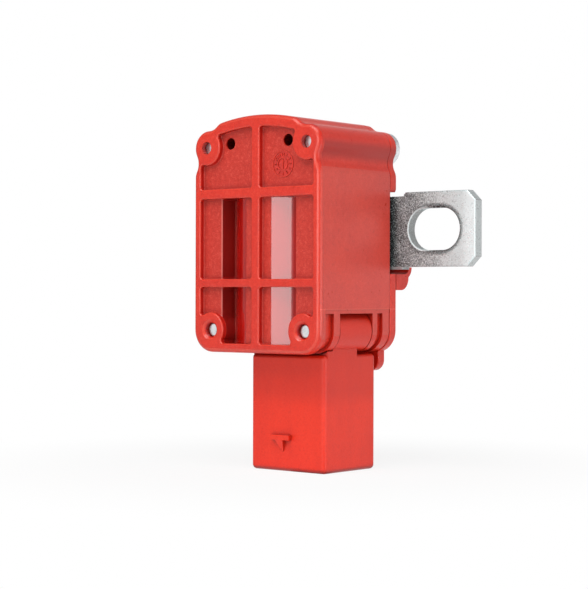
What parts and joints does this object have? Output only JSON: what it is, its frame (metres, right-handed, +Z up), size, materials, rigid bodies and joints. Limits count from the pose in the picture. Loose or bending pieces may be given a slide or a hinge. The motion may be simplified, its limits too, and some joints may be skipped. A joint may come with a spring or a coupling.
{
  "type": "battery fuse",
  "caption": "Pyrotechnic battery fuse: red ribbed housing with a plug connector below and a slotted bus bar through its back.",
  "frame": {"origin": "middle of the box round the part, at the level of the connector's mouth", "axes": "+X to the right along the bus bar, +Y from the ribbed front to the rear cover, +Z up from the connector's mouth"},
  "size_m": [0.0726, 0.03, 0.0705],
  "materials": {
    "housing_red": "satin moulded",
    "connector_red": "satin moulded",
    "tin_plate": "tin-plated copper",
    "zinc_steel": "zinc-plated",
    "seal_rubber": "matt",
    "contact_brass": "plated",
    "spring_steel": "bright",
    "inner_plastic": "matt"
  },
  "bodies": {
    "housing": {"front_housing": "housing_red", "rear_cover": "housing_red", "cover_seal": "seal_rubber", "connector_housing": "connector_red", "bus_bar": "tin_plate", "bar_seal_right": "seal_rubber", "bar_seal_left": "seal_rubber", "pressure_sleeve": "spring_steel", "anvil": "inner_plastic", "catch_cushion": "inner_plastic", "igniter": "spring_steel", "igniter_seal": "seal_rubber", "igniter_retainer": "inner_plastic", "shorting_clip": "spring_steel", "contact_pin_left": "contact_brass", "contact_pin_right": "contact_brass", "screw_top_left": "zinc_steel", "screw_top_right": "zinc_steel", "screw_bottom_left": "zinc_steel", "screw_bottom_right": "zinc_steel"},
    "punch": {"piston": "inner_plastic", "piston_seal": "seal_rubber"}
  },
  "joints": [
    {"name": "punch_stroke", "type": "slide", "parent": "housing", "child": "punch", "axis": [0, 0, 1], "range_m": [0, 0.0039]}
  ]
}
